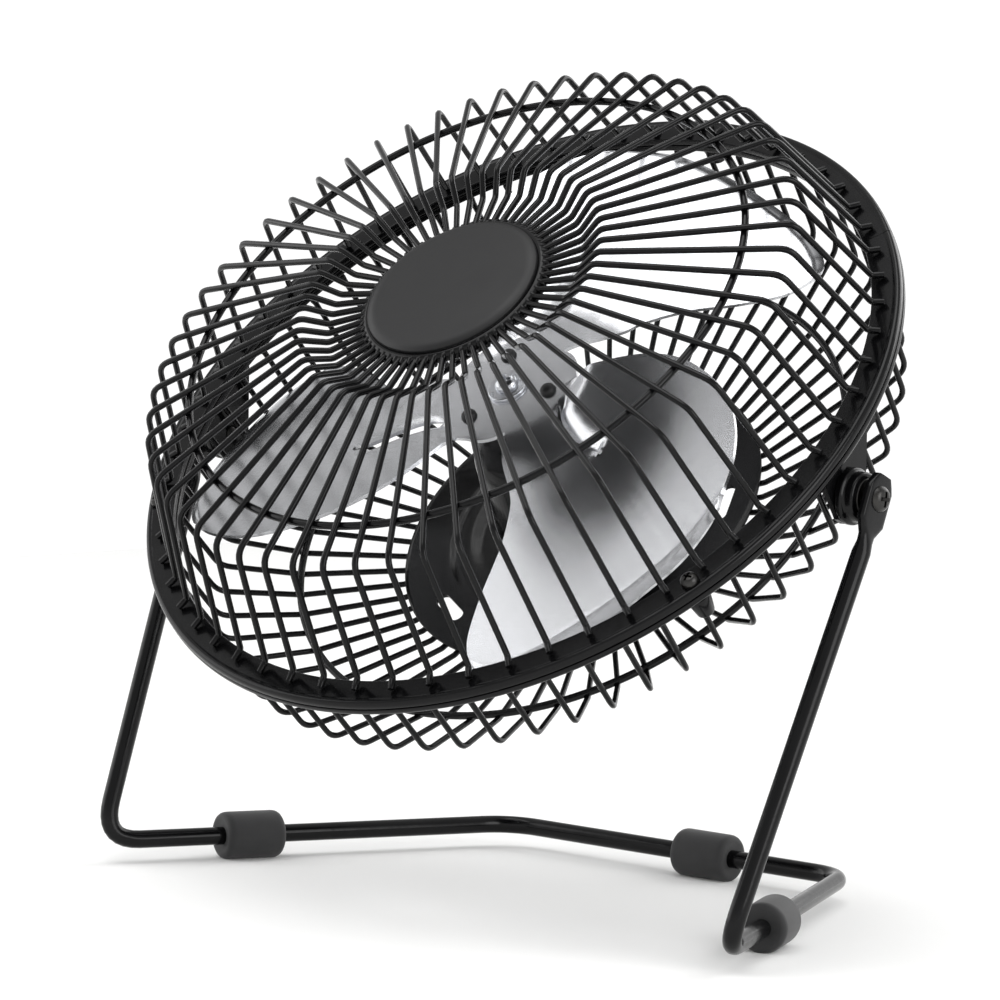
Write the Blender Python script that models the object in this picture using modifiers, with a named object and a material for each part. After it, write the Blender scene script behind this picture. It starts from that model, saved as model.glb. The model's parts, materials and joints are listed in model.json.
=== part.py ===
"""Small desk fan: a wire-guarded head that tilts on a bent steel-rod stand.

The head is modelled in its own axes (X to the side, Y up the slope of the guard, Z forward along
the fan's axis) with its origin at the centre of the front rim's face, and is placed by empties.
"""
from math import ceil, cos, hypot, pi, radians, sin, tan

import bmesh
import bpy
from mathutils import Matrix, Vector

for old in list(bpy.data.objects):
    bpy.data.objects.remove(old, do_unlink=True)

MM = 0.001
GAP = 0.3                     # clearance kept between neighbouring pieces, mm

# ---- driving dimensions, mm and degrees ------------------------------------------------------
RIM_R = 90.0                  # outer radius of the guard's two rims
RIM_INNER_R = 83.2
RIM_T = 1.6
HEAD_PITCH = 46.0             # how far the fan's axis points above the horizontal
HEAD_Z = 111.7                # height of the front rim's centre
HEAD_Y = -0.77
PIVOT_V = -7.2                # tilt axis in the head's axes
PIVOT_W = -13.1

WIRE_COUNT = 60
FRONT_WIRE_R = 0.71
REAR_WIRE_R = 0.65
FRONT_WIRE_START = 0.6        # angle of the first front wire
REAR_WIRE_START = 4.0
SUPPORT_WIRE_R = 0.85
FRONT_SUPPORT_R = 65.4
REAR_SUPPORT_R = 66.0

SCREW_ANGLES = (88.0, 208.0, 328.0)
SCREW_CIRCLE_R = 86.9
NUT_END_W = -8.9

BADGE_R = 20.0
WIRE_END_W = 32.4             # height of the front wires where they run under the badge
PLATE_R = 43.3
PLATE_FRONT_W = -37.3
PLATE_REAR_W = -38.2
SLOT_CIRCLE_R = 36.0
COVER_END_W = -54.0

HUB_W = 2.7                   # height of the impeller's flat hub
SHEET_T = 0.8
BLADES = 3

ROD_R = 2.05
STAND_FRONT_X = 87.1          # corners of the stand's floor frame
STAND_FRONT_Y = HEAD_Y - 33.4
STAND_REAR_X = 47.9
STAND_REAR_Y = HEAD_Y + 67.2
FOOT_R = 5.5
FOOT_L = 15.0
FOOT_FLAT = 0.25              # how much of a foot's underside is flat
ROD_Z = FOOT_R - FOOT_FLAT
SIDE_FOOT_AT = 0.35           # place of the side feet along the side runs
REAR_FOOT_X = 10.0

EYE_X = (91.5, 93.5)          # stack along the tilt axis, from the guard outwards
TAB_X = (85.6, 86.8)
FLANGE_X = (87.1, 88.6)
BARREL_END_X = 90.5
WASHER_X = (90.8, 91.2)
HEAD_X = (93.8, 96.0)
SHANK_R = 1.5
CLEAR_R = 1.9                 # bores that the shank passes through

ROCKER_TILT = 6.0

PARTS = bpy.data.collections.new("desk_fan")
CUTTERS = bpy.data.collections.new("cutters")
bpy.context.scene.collection.children.link(PARTS)
bpy.context.scene.collection.children.link(CUTTERS)


# ---- materials -------------------------------------------------------------------------------
def material(name, color, roughness, metallic=0.0):
    mat = bpy.data.materials.new(name)
    mat.use_nodes = True
    shader = mat.node_tree.nodes["Principled BSDF"]
    shader.inputs["Base Color"].default_value = (*color, 1.0)
    shader.inputs["Roughness"].default_value = roughness
    shader.inputs["Metallic"].default_value = metallic
    return mat


BLACK_PAINT = material("black_paint", (0.012, 0.012, 0.013), 0.3)
BADGE_BLACK = material("badge_black", (0.02, 0.02, 0.022), 0.45)
BLACK_SCREW = material("black_screw", (0.03, 0.03, 0.032), 0.35, 0.8)
ALUMINIUM = material("aluminium", (0.78, 0.78, 0.79), 0.3, 1.0)
BRIGHT_STEEL = material("bright_steel", (0.62, 0.62, 0.64), 0.2, 1.0)
CORE_STEEL = material("core_steel", (0.3, 0.3, 0.31), 0.4, 1.0)
RUBBER = material("rubber", (0.03, 0.03, 0.032), 0.8)
PLASTIC = material("black_plastic", (0.02, 0.02, 0.021), 0.5)


# ---- axes ------------------------------------------------------------------------------------
def empty(name, location, parent=None, pitch=0.0):
    axis = bpy.data.objects.new(name, None)
    PARTS.objects.link(axis)
    axis.location = Vector(location) * MM
    axis.rotation_euler = (radians(pitch), 0, 0)
    axis.parent = parent
    return axis


slope = radians(HEAD_PITCH)
PIVOT_Y = HEAD_Y + PIVOT_V * sin(slope) - PIVOT_W * cos(slope)
PIVOT_Z = HEAD_Z + PIVOT_V * cos(slope) + PIVOT_W * sin(slope)
TILT = empty("tilt_axis", (0, PIVOT_Y, PIVOT_Z), pitch=90 - HEAD_PITCH)
HEAD = empty("head_axes", (0, -PIVOT_V, -PIVOT_W), TILT)
SPIN = empty("spin_axis", (0, 0, HUB_W), HEAD)
SWITCH = empty("switch_axis", (0, 9, COVER_END_W - 4.2), HEAD, pitch=ROCKER_TILT)


# ---- modelling helpers -----------------------------------------------------------------------
def add_object(name, data, parent, mat, collection=PARTS):
    obj = bpy.data.objects.new(name, data)
    collection.objects.link(obj)
    obj.parent = parent
    if mat:
        obj.data.materials.append(mat)
    else:
        obj.hide_render = True
        obj.display_type = "WIRE"
    return obj


def turned(name, profile, steps, parent, mat, closed=True, collection=PARTS, turn=0.0):
    """Profile of (radius, height) in mm, outer side from top to bottom, turned round Z."""
    mesh = bpy.data.meshes.new(name)
    points = [(r * cos(turn) * MM, r * sin(turn) * MM, w * MM) for r, w in profile]
    edges = [(i, i + 1) for i in range(len(points) - 1)]
    if closed:
        edges.append((len(points) - 1, 0))
    mesh.from_pydata(points, edges, [])
    obj = add_object(name, mesh, parent, mat, collection)
    screw = obj.modifiers.new("turn", "SCREW")
    screw.steps = steps
    screw.render_steps = steps
    screw.use_merge_vertices = True
    screw.merge_threshold = 0.00001
    return obj


def ring(name, r_in, r_out, w_low, w_high, steps, parent, mat):
    profile = [(r_out, w_high), (r_out, w_low), (r_in, w_low), (r_in, w_high)]
    return turned(name, profile, steps, parent, mat)


def cylinder(name, radius, depth, location, parent, sides=16, matrix=None):
    """Cutter: a cylinder along local Z, centred on the location."""
    mesh = bpy.data.meshes.new(name)
    bm = bmesh.new()
    bmesh.ops.create_cone(bm, cap_ends=True, segments=sides, radius1=radius * MM,
                          radius2=radius * MM, depth=depth * MM)
    bm.to_mesh(mesh)
    bm.free()
    obj = add_object(name, mesh, parent, None, CUTTERS)
    obj.matrix_local = Matrix.Translation(Vector(location) * MM) @ (matrix or Matrix())
    return obj


def box(name, size, location, parent, mat, collection=PARTS):
    mesh = bpy.data.meshes.new(name)
    bm = bmesh.new()
    bmesh.ops.create_cube(bm, size=1.0)
    bmesh.ops.scale(bm, vec=Vector(size) * MM, verts=bm.verts)
    bm.to_mesh(mesh)
    bm.free()
    obj = add_object(name, mesh, parent, mat, collection)
    obj.location = Vector(location) * MM
    return obj


def boolean(obj, other, operation="DIFFERENCE"):
    mod = obj.modifiers.new(operation.lower(), "BOOLEAN")
    mod.operation = operation
    mod.solver = "EXACT"
    mod.object = other


def to_mesh(obj, mat, collection=PARTS):
    """Replace a curve object by a closed mesh object with the same name and place."""
    bpy.context.view_layer.update()
    graph = bpy.context.evaluated_depsgraph_get()
    mesh = bpy.data.meshes.new_from_object(obj.evaluated_get(graph))
    bm = bmesh.new()
    bm.from_mesh(mesh)
    bmesh.ops.remove_doubles(bm, verts=bm.verts, dist=0.000005)
    bmesh.ops.recalc_face_normals(bm, faces=bm.faces)
    bm.to_mesh(mesh)
    bm.free()
    name, parent, place = obj.name, obj.parent, obj.matrix_world.copy()
    bpy.data.objects.remove(obj, do_unlink=True)
    solid = add_object(name, mesh, parent, mat, collection)
    solid.matrix_world = place
    return solid


def tubes(name, paths, radius, resolution, parent, mat, collection=PARTS):
    """One closed tube along each path of points in mm."""
    curve = bpy.data.curves.new(name, "CURVE")
    curve.dimensions = "3D"
    curve.bevel_depth = radius * MM
    curve.bevel_resolution = resolution
    curve.use_fill_caps = True
    for path in paths:
        spline = curve.splines.new("POLY")
        spline.points.add(len(path) - 1)
        for point, place in zip(spline.points, path):
            point.co = (*(Vector(place) * MM), 1.0)
    return to_mesh(add_object(name, curve, parent, None, CUTTERS), mat, collection)


def slab(name, outline, thickness, matrix, parent, mat, collection=PARTS):
    """A flat outline in mm, extruded by half the thickness to each side of its plane."""
    curve = bpy.data.curves.new(name, "CURVE")
    curve.dimensions = "2D"
    curve.fill_mode = "BOTH"
    curve.extrude = thickness / 2 * MM
    spline = curve.splines.new("POLY")
    spline.points.add(len(outline) - 1)
    for point, (x, y) in zip(spline.points, outline):
        point.co = (x * MM, y * MM, 0.0, 1.0)
    spline.use_cyclic_u = True
    flat = add_object(name, curve, parent, None, CUTTERS)
    flat.matrix_local = matrix
    return to_mesh(flat, mat, collection)


def arc(centre, radius, start, end, steps):
    angles = [radians(start + (end - start) * i / steps) for i in range(steps + 1)]
    return [(centre[0] + radius * cos(a), centre[1] + radius * sin(a)) for a in angles]


def rounded(path, radii, steps):
    """Polyline in space with an arc of the given radius at each inner corner."""
    result = [Vector(path[0])]
    for before, corner, after, radius in zip(path, path[1:], path[2:], radii):
        corner = Vector(corner)
        arrive = (Vector(before) - corner).normalized()
        leave = (Vector(after) - corner).normalized()
        half = arrive.angle(leave) / 2
        middle = corner + (arrive + leave).normalized() * radius / sin(half)
        first = corner + arrive * radius / tan(half) - middle
        last = corner + leave * radius / tan(half) - middle
        for i in range(steps + 1):
            result.append(middle + first.slerp(last, i / steps) * radius)
    result.append(Vector(path[-1]))
    return result


SIDE_PLANE = Matrix(((0, 0, 1, 0), (1, 0, 0, 0), (0, 1, 0, 0), (0, 0, 0, 1)))


def across(x, v=0.0, w=0.0):
    """Matrix that lays a flat outline, or a turned piece, square to the X axis at a place."""
    return Matrix.Translation(Vector((x, v, w)) * MM) @ SIDE_PLANE


# ---- stand -----------------------------------------------------------------------------------
def stand():
    """Rod bent into two uprights and a floor frame, with a flattened eye at the top of each."""
    lean = Vector((0, PIVOT_Y - STAND_FRONT_Y, PIVOT_Z - ROD_Z)).normalized()
    pivot = Vector((sum(EYE_X) / 2, PIVOT_Y, PIVOT_Z))
    right = [pivot - lean * 4.5,
             pivot - lean * 10,
             Vector((STAND_FRONT_X, STAND_FRONT_Y, ROD_Z)),
             Vector((STAND_REAR_X, STAND_REAR_Y, ROD_Z))]
    left = [Vector((-p.x, p.y, p.z)) for p in reversed(right)]
    path = rounded(right + left, (10, 7, 12, 12, 7, 10), 4)
    frame = tubes("stand_frame", [path], ROD_R, 2, None, BLACK_PAINT)
    eye = [(-7.5, -1.9), (-5.6, -4.2), (2.4, -4.2), (5.0, -2.2),
           (5.0, 2.2), (2.4, 4.2), (-5.6, 4.2), (-7.5, 1.9)]
    outline = [(lean.y * u - lean.z * v, lean.z * u + lean.y * v) for u, v in eye]
    for side, name in ((-1, "left"), (1, "right")):
        place = across(side * pivot.x, PIVOT_Y, PIVOT_Z)
        plate = slab("eye_" + name, outline, EYE_X[1] - EYE_X[0], place, None, None, CUTTERS)
        boolean(frame, plate, "UNION")
        bore = cylinder("eye_bore_" + name, CLEAR_R, 8, place.translation / MM, None,
                        matrix=SIDE_PLANE)
        boolean(frame, bore)


def foot(name, place, direction):
    """Rubber sleeve on the rod, with a flat underside."""
    half = FOOT_L / 2
    bore = ROD_R + GAP + 0.1
    profile = [(FOOT_R - 1.2, half), (FOOT_R, half - 1.2), (FOOT_R, 1.2 - half),
               (FOOT_R - 1.2, -half), (bore, -half), (bore, half)]
    sleeve = turned(name, profile, 20, None, RUBBER)
    sleeve.rotation_mode = "QUATERNION"
    sleeve.rotation_quaternion = Vector(direction).to_track_quat("Z", "Y")
    sleeve.location = Vector(place) * MM
    floor = box(name + "_floor", (40, 40, 10), (place[0], place[1], -5), None, None, CUTTERS)
    boolean(sleeve, floor)


def feet():
    run = Vector((STAND_REAR_X - STAND_FRONT_X, STAND_REAR_Y - STAND_FRONT_Y, 0))
    x = STAND_FRONT_X + run.x * SIDE_FOOT_AT
    y = STAND_FRONT_Y + run.y * SIDE_FOOT_AT
    foot("foot_right", (x, y, ROD_Z), run)
    foot("foot_left", (-x, y, ROD_Z), (-run.x, run.y, 0))
    foot("foot_rear", (REAR_FOOT_X, STAND_REAR_Y, ROD_Z), (1, 0, 0))


# ---- guard -----------------------------------------------------------------------------------
def on_circle(radius, angle, w=0.0):
    return Vector((radius * cos(radians(angle)), radius * sin(radians(angle)), w))


def rims():
    """Two flat rims face to face, drilled for the three screws that hold them together."""
    front = [(RIM_R - 0.7, 0), (RIM_R, -0.5), (RIM_R, -RIM_T), (RIM_INNER_R, -RIM_T),
             (RIM_INNER_R, 0)]
    top = -RIM_T - GAP
    rear = [(RIM_R, top), (RIM_R, top - 1.1), (RIM_R - 0.7, top - RIM_T),
            (RIM_INNER_R, top - RIM_T), (RIM_INNER_R, top)]
    for name, profile in (("front_rim", front), ("rear_rim", rear)):
        rim = turned(name, profile, 60, HEAD, BLACK_PAINT)
        for index, angle in enumerate(SCREW_ANGLES):
            place = on_circle(SCREW_CIRCLE_R, angle, profile[0][1])
            boolean(rim, cylinder(f"{name}_hole_{index}", 1.5, 8, place, HEAD, sides=12))
    return top - RIM_T


def rim_fasteners(rear_face):
    """Pan-head screw in front and a tapered nut behind, at three places round the rims."""
    head_low = GAP
    screw = [(0, 2.3), (1.3, 2.1), (2.0, 1.2), (2.0, head_low), (1.0, head_low),
             (1.0, -7.5), (0, -7.5)]
    nut_top = rear_face - GAP
    nut = [(2.6, nut_top), (2.6, nut_top - 1.2), (1.9, NUT_END_W), (0, NUT_END_W),
           (0, NUT_END_W + 0.8), (1.4, NUT_END_W + 0.8), (1.4, nut_top)]
    nut = nut[4:] + nut[:4]
    for index, angle in enumerate(SCREW_ANGLES):
        place = on_circle(SCREW_CIRCLE_R, angle) * MM
        turned(f"rim_screw_{index + 1}", screw, 14, HEAD, BLACK_SCREW, False).location = place
        turned(f"rim_nut_{index + 1}", nut, 14, HEAD, BLACK_PAINT, False).location = place


def wires(name, profile, start, radius, parent, mat, collection=PARTS):
    """Radial guard wires: one profile of (radius, height), repeated round the axis."""
    paths = []
    for index in range(WIRE_COUNT):
        angle = start + index * 360 / WIRE_COUNT
        points = [on_circle(r, angle, w) for r, w in profile(angle)]
        paths.append(points)
    return tubes(name, paths, radius, 0, parent, mat, collection)


def front_guard():
    """Wires with their inner ends in a ring under the badge, and a support ring behind them."""
    path = [(19, WIRE_END_W), (29.7, WIRE_END_W), (35.6, 35.78), (76.0, 26.8), (84, 1.6),
            (86.2, 1.05)]
    grille = wires("front_grille", lambda angle: path, FRONT_WIRE_START, FRONT_WIRE_R, HEAD,
                   BLACK_PAINT)
    top = WIRE_END_W + 0.85
    inner = [(21.6, top), (21.6, top - 2.6), (17.5, top - 2.6), (17.5, top)]
    half_step = radians(FRONT_WIRE_START + 180 / WIRE_COUNT)
    core = turned("front_wire_ring", inner, WIRE_COUNT, HEAD, None, True, CUTTERS, half_step)
    boolean(grille, core, "UNION")
    support = arc((FRONT_SUPPORT_R, 27.6), SUPPORT_WIRE_R, 90, -180, 3)
    turned("front_support_ring", support, 60, HEAD, BLACK_PAINT)
    low = top + GAP
    badge = [(0, low + 1.75), (12, low + 1.6), (BADGE_R - 1.1, low + 1.1), (BADGE_R, low + 0.5),
             (BADGE_R, low + 0.2), (BADGE_R - 0.4, low), (0, low)]
    turned("front_badge", badge, 40, HEAD, BADGE_BLACK, False)


def rear_guard():
    """Wires that pass behind the motor plate, joined by a support ring in front of them."""
    tail = [(83.3, -21.6), (66, -31.7), (44, -39.2), (39.8, -39.2)]

    def path(angle):
        behind_nut = any(abs(angle - screw) < 1 for screw in SCREW_ANGLES)
        top = (84.3, NUT_END_W - 0.8) if behind_nut else (84.6, -4.5)
        return [top] + tail

    grille = wires("rear_grille", path, REAR_WIRE_START, REAR_WIRE_R, HEAD, BLACK_PAINT)
    section = arc((REAR_SUPPORT_R, -30.7), SUPPORT_WIRE_R, 90, -180, 3)
    half_step = radians(REAR_WIRE_START + 180 / WIRE_COUNT)
    support = turned("rear_support", section, WIRE_COUNT, HEAD, None, True, CUTTERS, half_step)
    boolean(grille, support, "UNION")


# ---- motor -----------------------------------------------------------------------------------
def motor():
    """Motor on a round plate: tapered can in front, closed cover behind, core inside."""
    plate = ring("motor_plate", 6.5, PLATE_R, PLATE_REAR_W, PLATE_FRONT_W, 60, HEAD, BLACK_PAINT)
    for index, angle in enumerate((13, 126, 239)):
        slot = slab(f"plate_slot_{index}", slot_outline(SLOT_CIRCLE_R, 5.2, 1.6), 6,
                    Matrix.Translation((0, 0, PLATE_REAR_W * MM)) @ Matrix.Rotation(
                        radians(angle), 4, "Z"), HEAD, None, CUTTERS)
        boolean(plate, slot)
    base = PLATE_FRONT_W + GAP
    can = [(2.2, -6.0), (10.5, -6.8), (15.0, -11.0), (18.4, base + 2), (20.5, base + 1),
           (20.5, base), (17.0, base), (13.6, -11.6), (9.6, -8.2), (2.2, -7.5)]
    turned("motor_can", can, 30, HEAD, BLACK_PAINT)
    ring("front_bearing", 2.0, 5.0, -12.0, -8.6, 16, HEAD, BRIGHT_STEEL)
    ring("stator", 8.8, 13.0, -34.0, -14.5, 30, HEAD, CORE_STEEL)
    ring("rear_bearing", 2.0, 5.0, -43.5, -40.0, 16, HEAD, BRIGHT_STEEL)
    top = PLATE_REAR_W - GAP
    cover = [(0, COVER_END_W + 1.5), (21.4, COVER_END_W + 1.5), (25.6, -49.2), (28.4, -41),
             (28.4, top), (30.0, top), (30.0, -41.2), (27.0, -50.2), (22.0, COVER_END_W),
             (0, COVER_END_W)]
    turned("motor_rear_cover", cover, 32, HEAD, PLASTIC, False)


def slot_outline(radius, half_length, half_width):
    """Straight slot with round ends, square to the radius it lies on."""
    end = arc((radius, half_length - half_width), half_width, 0, 180, 5)
    return end + [(2 * radius - x, -y) for x, y in end]


def switch():
    """Rocker switch on the back of the motor cover."""
    y = SWITCH.location.y / MM
    low = COVER_END_W - GAP - 4.2
    middle = (COVER_END_W - GAP + low) / 2
    housing = box("switch_housing", (11.5, 16.0, 4.2), (0, y, middle), HEAD, PLASTIC)
    boolean(housing, box("switch_well", (8.3, 13.2, 10), (0, y, middle), HEAD, None, CUTTERS))
    profile = [(5.8, 0.9), (-5.8, 0.9), (-5.8, -1.8)] + arc((0, 15.2), 17.0, -110, -70, 4)[1:-1]
    profile += [(5.8, -1.8)]
    slab("rocker", profile, 7.2, SIDE_PLANE, SWITCH, PLASTIC)


# ---- tilt joint ------------------------------------------------------------------------------
def pivot(name, side):
    """Tab on the rear rim, stepped bush, washer and the screw that passes through the eye."""
    def turned_across(label, profile, steps, mat, closed=True):
        piece = turned(f"{label}_{name}", profile, steps, HEAD, mat, closed)
        facing = SIDE_PLANE if side > 0 else SIDE_PLANE @ Matrix.Rotation(pi, 4, "X")
        piece.matrix_local = Matrix.Translation((0, PIVOT_V * MM, PIVOT_W * MM)) @ facing

    rear_face = -2 * RIM_T - GAP
    top = rear_face - GAP
    outline = [(9.0, top), (-12.0, top)]
    outline += arc((PIVOT_V, PIVOT_W), 6.0, 190, 325, 6)
    tab_middle = side * sum(TAB_X) / 2
    tab = slab("pivot_bracket_" + name, outline, TAB_X[1] - TAB_X[0], across(tab_middle),
               HEAD, BLACK_PAINT)
    ledge_x = 89.0
    ledge = box("bracket_ledge_" + name, (ledge_x - TAB_X[0] - 0.1, 16.0, 1.2),
                (side * (ledge_x + TAB_X[0] + 0.1) / 2, 0, top - 0.62), HEAD, None, CUTTERS)
    boolean(tab, ledge, "UNION")
    hole = cylinder("bracket_bore_" + name, CLEAR_R, 6, (tab_middle, PIVOT_V, PIVOT_W), HEAD,
                    matrix=SIDE_PLANE)
    boolean(tab, hole)
    bush = [(5.35, BARREL_END_X), (5.35, FLANGE_X[1]), (6.0, FLANGE_X[1]), (6.0, FLANGE_X[0]),
            (CLEAR_R, FLANGE_X[0]), (CLEAR_R, BARREL_END_X)]
    turned_across("pivot_bush", bush, 24, BLACK_PAINT)
    washer = [(4.0, WASHER_X[1]), (4.0, WASHER_X[0]), (CLEAR_R, WASHER_X[0]),
              (CLEAR_R, WASHER_X[1])]
    turned_across("pivot_washer", washer, 20, BLACK_SCREW)
    screw = [(0, HEAD_X[1]), (1.9, HEAD_X[1] - 0.2), (2.9, HEAD_X[1] - 1.2), (2.9, HEAD_X[0]),
             (SHANK_R, HEAD_X[0]), (SHANK_R, TAB_X[0] - 0.4), (0, TAB_X[0] - 0.4)]
    turned_across("pivot_screw", screw, 16, BLACK_SCREW, False)


# ---- impeller --------------------------------------------------------------------------------
# One blade's outline, in rim radii, from its trailing root round the tip to the notch by the next.
BLADE_EDGE = [(0.076, -0.144), (0.145, -0.28), (0.192, -0.429), (0.195, -0.584), (0.216, -0.685),
              (0.29, -0.76), (0.45, -0.715), (0.575, -0.624), (0.668, -0.54), (0.744, -0.45),
              (0.79, -0.34), (0.793, -0.219), (0.755, -0.104), (0.679, -0.008), (0.573, 0.059),
              (0.45, 0.097), (0.316, 0.089), (0.192, 0.04), (0.145, 0.09)]


def smooth_loop(points, steps):
    """Closed Catmull-Rom curve through the points."""
    result = []
    count = len(points)
    for i in range(count):
        a, b, c, d = (Vector(points[(i + k) % count]) for k in (-1, 0, 1, 2))
        for step in range(steps):
            t = step / steps
            result.append(0.5 * (2 * b + (c - a) * t + (2 * a - 5 * b + 4 * c - d) * t * t
                                 + (3 * b - a - 3 * c + d) * t ** 3))
    return result


def blade_height(x, y):
    """Height of the pressed sheet in mm: a twisted blade that levels out into the flat hub."""
    radius = hypot(x, y) / RIM_R
    for turn in range(BLADES):
        point = Matrix.Rotation(-turn * 2 * pi / BLADES, 2) @ Vector((x, y)) / RIM_R
        if -88 <= Vector((1, 0)).angle_signed(point, 0) * -180 / pi < 32:
            break
    p, q = point
    blade = 0.025 + 0.099 * p + 0.233 * q - 0.024 * p * q - 0.017 * q * q
    t = min(max((radius - 0.15) / 0.12, 0), 1)
    return HUB_W * (1 - t) + blade * RIM_R * t


def impeller():
    """Three-bladed impeller pressed from one sheet, with a slit beside each blade's root."""
    points = []
    for turn in range(BLADES):
        rotation = Matrix.Rotation(turn * 2 * pi / BLADES, 2)
        points += [rotation @ Vector(p) * RIM_R for p in BLADE_EDGE]
    bm = bmesh.new()
    bm.faces.new([bm.verts.new((*p, 0)) for p in smooth_loop(points, 2)])
    cell = 15.0
    lines = range(-ceil(RIM_R / cell), ceil(RIM_R / cell) + 1)
    for axis in ((1, 0, 0), (0, 1, 0)):
        for line in lines:
            bmesh.ops.bisect_plane(bm, geom=bm.faces[:] + bm.edges[:] + bm.verts[:],
                                   plane_co=Vector(axis) * (line + 0.5) * cell, plane_no=axis)
    bmesh.ops.triangulate(bm, faces=bm.faces)
    for vert in bm.verts:
        vert.co.z = blade_height(vert.co.x, vert.co.y) - HUB_W
    bmesh.ops.scale(bm, vec=(MM, MM, MM), verts=bm.verts)
    mesh = bpy.data.meshes.new("impeller")
    bm.to_mesh(mesh)
    bm.free()
    sheet = add_object("impeller", mesh, SPIN, ALUMINIUM)
    solidify = sheet.modifiers.new("sheet", "SOLIDIFY")
    solidify.thickness = SHEET_T * MM
    solidify.offset = 0
    boolean(sheet, cylinder("hub_bore", 2.0, 20, (0, 0, 0), SPIN))
    for turn in range(BLADES):
        angle = 1 + turn * 360 / BLADES
        boolean(sheet, cylinder(f"hub_hole_{turn}", 1.9, 20, on_circle(10.8, angle), SPIN))
        slit = box(f"blade_slit_{turn}", (16.0, 1.2, 30), (0, 0, 0), SPIN, None, CUTTERS)
        slit.location = on_circle(24.0, angle - 24) * MM
        slit.rotation_euler = (0, 0, radians(angle - 31))
        boolean(sheet, slit)


def spindle():
    """Boss, washer and screw that clamp the impeller to the motor's shaft, and the rotor."""
    low = -SHEET_T / 2 - GAP
    high = SHEET_T / 2 + GAP
    ring("hub_boss", 2.0, 5.5, -6.6, low, 24, SPIN, BRIGHT_STEEL)
    ring("hub_washer", 1.6, 4.7, high, high + 0.8, 28, SPIN, BRIGHT_STEEL)
    top = high + 0.8 + GAP
    screw = [(0, top + 1.9), (1.6, top + 1.7), (2.7, top + 0.9), (2.7, top), (1.2, top),
             (1.2, -3.2), (0, -3.2)]
    turned("hub_screw", screw, 16, SPIN, BRIGHT_STEEL, False)
    shaft = [(0, -3.6), (1.6, -3.6), (1.6, -46.8), (0, -46.8)]
    turned("motor_shaft", shaft, 16, SPIN, BRIGHT_STEEL, False)
    ring("rotor", 2.0, 8.2, -36.0, -17.5, 24, SPIN, CORE_STEEL)


stand()
feet()
rim_rear_face = rims()
rim_fasteners(rim_rear_face)
front_guard()
rear_guard()
motor()
switch()
pivot("left", -1)
pivot("right", 1)
impeller()
spindle()
bpy.context.view_layer.update()
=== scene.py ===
import json

import bmesh
import bpy
import numpy as np
from mathutils import Matrix, Vector


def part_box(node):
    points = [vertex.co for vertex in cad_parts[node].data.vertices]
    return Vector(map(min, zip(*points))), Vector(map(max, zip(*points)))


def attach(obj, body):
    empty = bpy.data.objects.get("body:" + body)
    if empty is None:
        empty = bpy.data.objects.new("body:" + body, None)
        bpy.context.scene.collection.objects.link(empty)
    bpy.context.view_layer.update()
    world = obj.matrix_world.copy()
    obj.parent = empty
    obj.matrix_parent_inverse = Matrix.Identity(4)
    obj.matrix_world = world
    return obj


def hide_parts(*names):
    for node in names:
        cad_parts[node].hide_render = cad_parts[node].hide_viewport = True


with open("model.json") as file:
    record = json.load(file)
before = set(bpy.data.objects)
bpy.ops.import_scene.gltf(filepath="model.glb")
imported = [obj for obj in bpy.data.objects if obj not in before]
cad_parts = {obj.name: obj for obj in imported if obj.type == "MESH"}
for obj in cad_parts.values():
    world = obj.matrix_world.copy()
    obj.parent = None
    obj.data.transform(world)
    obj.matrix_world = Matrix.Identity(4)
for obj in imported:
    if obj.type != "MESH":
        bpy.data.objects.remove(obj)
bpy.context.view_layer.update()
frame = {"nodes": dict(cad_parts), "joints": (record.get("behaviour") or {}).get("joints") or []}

# ---- Axes --------------------------------------------------------------------------------------
# The guard, motor and impeller all lie about the fan's axis, so they are worked out in millimetres
# in the head's own axes: x to the side, v up the guard's slope and w forward along the fan's axis.
# The origin is the centre of the front rim's face.
MM = 0.001
joints = {joint["name"]: joint for joint in frame["joints"]}
centre = np.array(joints["impeller_spin"]["pos_m"])
forward = np.array(joints["impeller_spin"]["axis"])
forward = forward / np.linalg.norm(forward)
sideways = np.array([1.0, 0.0, 0.0])
upslope = np.cross(forward, sideways)
head_axes = np.stack([sideways, upslope, forward])
rim_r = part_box("front_rim")[1].x / MM


def in_head(points):
    """Points in the head's axes, in millimetres, as points of the row in metres."""
    return np.asarray(points, float) * MM @ head_axes + centre


# ---- Camera, light and floor -------------------------------------------------------------------
# A long lens a little above the fan's waist, turned slightly on its axis, with a big soft light on
# each side, one overhead, and a flat pale card under and round the fan.
lens_turn, lens_lift, lens_roll = np.radians([38.157, 4.62, 2.556])
lens_back = np.array([np.sin(lens_turn) * np.cos(lens_lift), -np.cos(lens_turn) * np.cos(lens_lift),
                      np.sin(lens_lift)])
lens_right = np.array([np.cos(lens_turn), np.sin(lens_turn), 0.0])
lens_up = np.cross(lens_back, lens_right)
rolled_right = lens_right * np.cos(lens_roll) + lens_up * np.sin(lens_roll)
rolled_up = lens_up * np.cos(lens_roll) - lens_right * np.sin(lens_roll)
aim = centre + rim_r * MM * np.array([-0.0337, 0.0, -0.2531])
camera = bpy.data.objects.new("camera", bpy.data.cameras.new("camera"))
camera.data.lens = 168.44
camera.data.shift_x = 0.0011
camera.matrix_world = Matrix.Translation(aim + lens_back * rim_r * MM * 11.4375) @ Matrix(
    np.stack([rolled_right, rolled_up, lens_back], axis=1)).to_4x4()
bpy.context.scene.collection.objects.link(camera)
bpy.context.scene.camera = camera


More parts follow.
